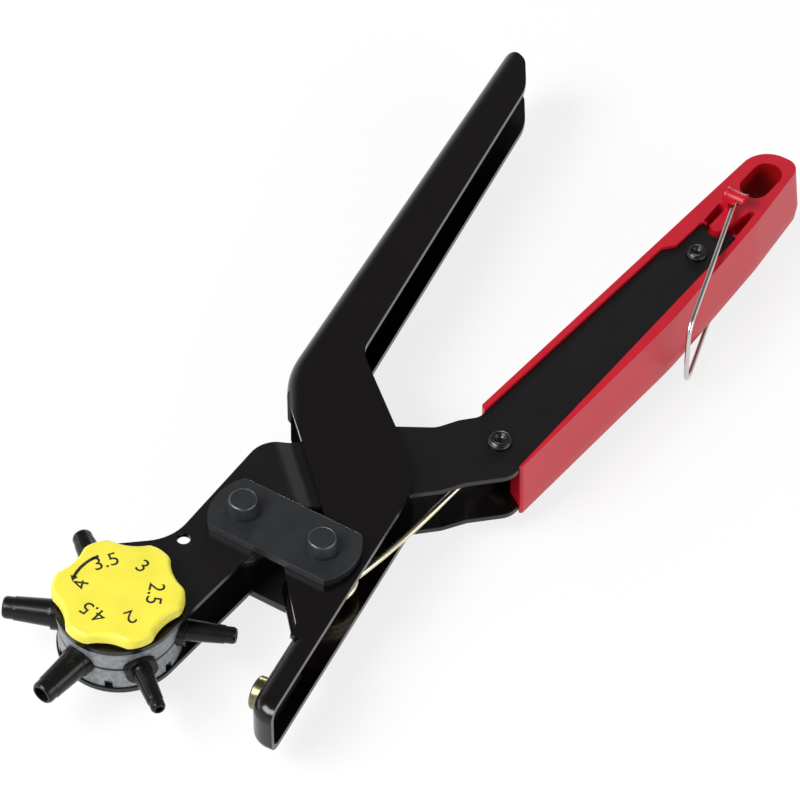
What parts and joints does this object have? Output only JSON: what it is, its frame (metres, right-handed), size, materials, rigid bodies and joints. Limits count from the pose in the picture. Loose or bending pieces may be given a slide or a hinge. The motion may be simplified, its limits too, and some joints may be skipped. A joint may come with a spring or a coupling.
{
  "type": "revolving hole punch",
  "caption": "Lever punch pliers with a revolving turret of punch tubes, a soft anvil, a lobed waste cap, a moulded grip and a wire closing bail.",
  "frame": {"origin": "on the axis of the pivot rivet, on the flat face of its back head", "axes": "+X from the jaws to the handles, +Y from the anvil jaw to the turret, +Z along the pivot axis from the back face to the front face"},
  "size_m": [0.2583, 0.1094, 0.0302],
  "materials": {
    "frame_coat": "glossy black coat",
    "cheek_coat": "semi-gloss black coat",
    "blued_steel": "dark blued satin",
    "rivet_steel": "dark polished",
    "plain_steel": "satin",
    "tube_steel": "dark oxide satin",
    "cast_metal": "fine cast",
    "anvil_brass": "satin",
    "spring_wire": "yellow plated",
    "bright_wire": "bright",
    "cap_plastic": "smooth",
    "grip_plastic": "satin"
  },
  "bodies": {
    "frame": {"frame_channel": "frame_coat", "anvil": "anvil_brass", "pivot_sleeve": "plain_steel", "pivot_rivet": "blued_steel"},
    "jaw": {"jaw_cheek_front": "cheek_coat", "jaw_cheek_back": "cheek_coat", "link_strap_front": "blued_steel", "link_strap_back": "blued_steel", "strap_rivet": "blued_steel", "strap_spacer": "plain_steel", "detent_spring": "plain_steel", "grip": "grip_plastic", "handle_rivet_front": "rivet_steel", "handle_rivet_rear": "rivet_steel", "opening_spring": "spring_wire"},
    "turret": {"turret_half_front": "cast_metal", "turret_half_back": "cast_metal", "turret_axle": "blued_steel", "turret_washer": "plain_steel", "turret_screws": "plain_steel", "punch_tube_2_0": "tube_steel", "punch_tube_2_5": "tube_steel", "punch_tube_3_0": "tube_steel", "punch_tube_3_5": "tube_steel", "punch_tube_4_0": "tube_steel", "punch_tube_4_5": "tube_steel"},
    "cap": {"waste_cap": "cap_plastic"},
    "bail": {"bail": "bright_wire"}
  },
  "joints": [
    {"name": "pivot", "type": "hinge", "parent": "frame", "child": "jaw", "pos_m": [0, 0, 0.0151], "axis": [0, 0, 1], "range_deg": [-3, 14.8], "stiffness_Nm_per_rad": 10, "deforming": ["opening_spring"]},
    {"name": "turret", "type": "hinge", "parent": "jaw", "child": "turret", "pos_m": [-0.0412, 0.0361, 0.0151], "axis": [0, 0, 1], "continuous": true},
    {"name": "cap_twist", "type": "hinge", "parent": "turret", "child": "cap", "pos_m": [-0.0412, 0.0361, 0.026], "axis": [0, 0, 1], "range_deg": [0, 30]},
    {"name": "bail", "type": "hinge", "parent": "jaw", "child": "bail", "pos_m": [0.1636, -0.03024, 0.0151], "axis": [0, 0, 1], "range_deg": [-4, 240]}
  ]
}
